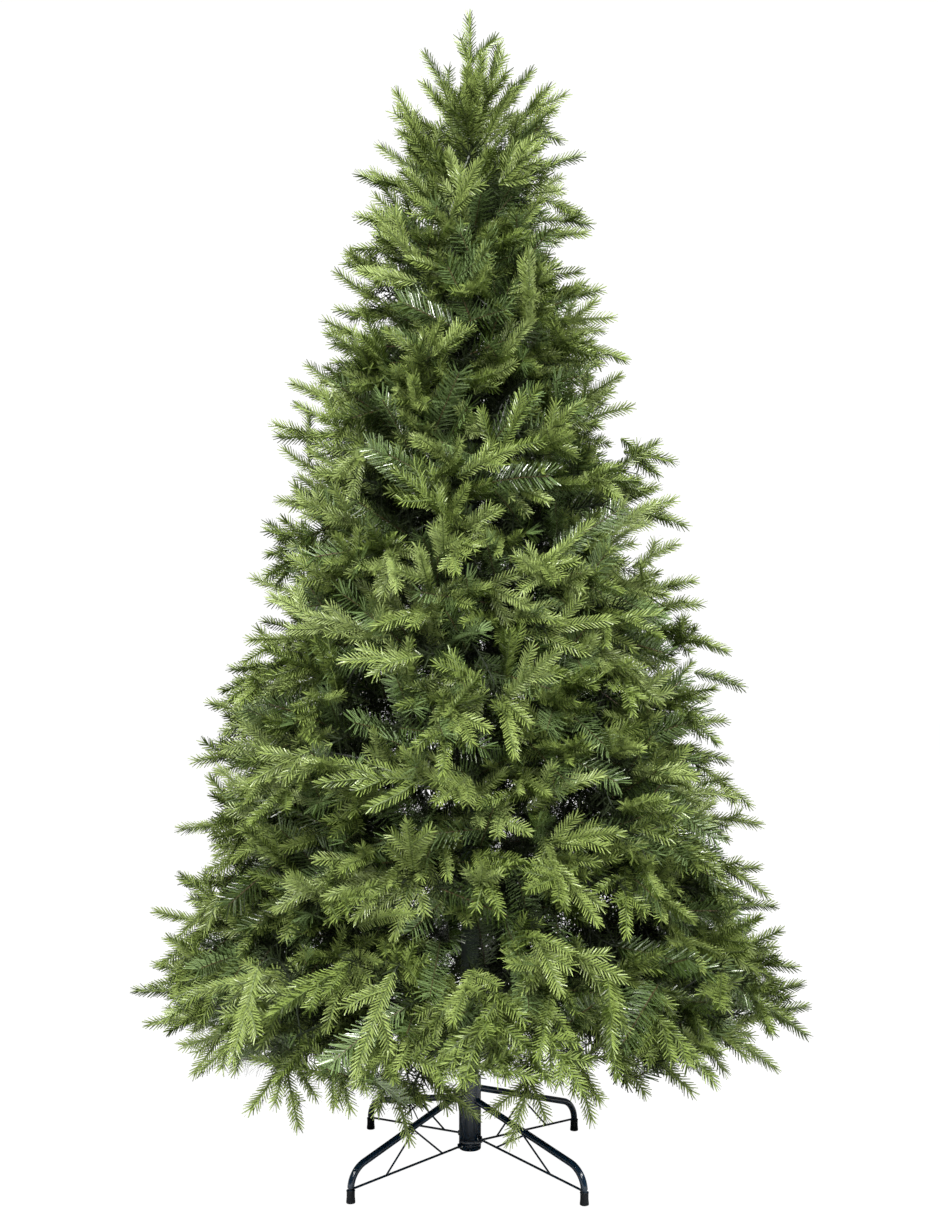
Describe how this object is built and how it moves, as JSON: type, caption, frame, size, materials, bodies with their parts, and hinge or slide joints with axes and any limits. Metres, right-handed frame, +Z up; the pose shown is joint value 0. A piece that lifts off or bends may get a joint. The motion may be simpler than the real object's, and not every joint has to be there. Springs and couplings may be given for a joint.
{
  "type": "artificial christmas tree on a folding steel stand",
  "caption": "Undecorated artificial christmas tree with mixed moulded and film needles, full to the floor, on a black folding four-leg steel stand.",
  "frame": {"origin": "on the floor under the middle of the stand, on the axis of the pole", "axes": "+Z up along the pole, -Y towards the front that the picture shows, +X to the right of that view"},
  "size_m": [1.2022, 1.2022, 2.1],
  "materials": {
    "foliage": "matte",
    "pole_paint": "satin",
    "stand_paint": "gloss",
    "rubber": "matte"
  },
  "bodies": {
    "root": {"stand_socket": "stand_paint", "stand_leg_1": "stand_paint", "stand_leg_2": "stand_paint", "stand_leg_3": "stand_paint", "stand_leg_4": "stand_paint", "stand_brace_1": "stand_paint", "stand_brace_2": "stand_paint", "stand_brace_3": "stand_paint", "stand_brace_4": "stand_paint", "foot_cap_1": "rubber", "foot_cap_2": "rubber", "foot_cap_3": "rubber", "foot_cap_4": "rubber", "pole": "pole_paint", "tier_1_mass_1": "foliage", "tier_1_mass_2": "foliage", "tier_1_mass_3": "foliage", "tier_1_mass_4": "foliage", "tier_1_mass_5": "foliage", "tier_1_mass_6": "foliage", "tier_1_mass_7": "foliage", "tier_1_mass_8": "foliage", "tier_2_mass_1": "foliage", "tier_2_mass_2": "foliage", "tier_2_mass_3": "foliage", "tier_2_mass_4": "foliage", "tier_2_mass_5": "foliage", "tier_2_mass_6": "foliage", "tier_2_mass_7": "foliage", "tier_3_mass_1": "foliage", "tier_3_mass_2": "foliage", "tier_3_mass_3": "foliage", "tier_3_mass_4": "foliage", "tier_3_mass_5": "foliage", "tier_3_mass_6": "foliage", "tier_4_mass_1": "foliage", "tier_4_mass_2": "foliage", "tier_4_mass_3": "foliage", "tier_4_mass_4": "foliage", "tier_4_mass_5": "foliage", "tier_4_mass_6": "foliage", "tier_5_mass_1": "foliage", "tier_5_mass_2": "foliage", "tier_5_mass_3": "foliage", "tier_5_mass_4": "foliage", "tier_5_mass_5": "foliage", "tier_6_mass_1": "foliage", "tier_6_mass_2": "foliage", "tier_6_mass_3": "foliage", "tier_6_mass_4": "foliage", "tier_7_mass_1": "foliage", "tier_7_mass_2": "foliage", "tier_7_mass_3": "foliage", "tier_7_mass_4": "foliage", "tier_8_mass_1": "foliage", "tier_8_mass_2": "foliage", "tier_8_mass_3": "foliage", "leader": "foliage"}
  },
  "joints": []
}
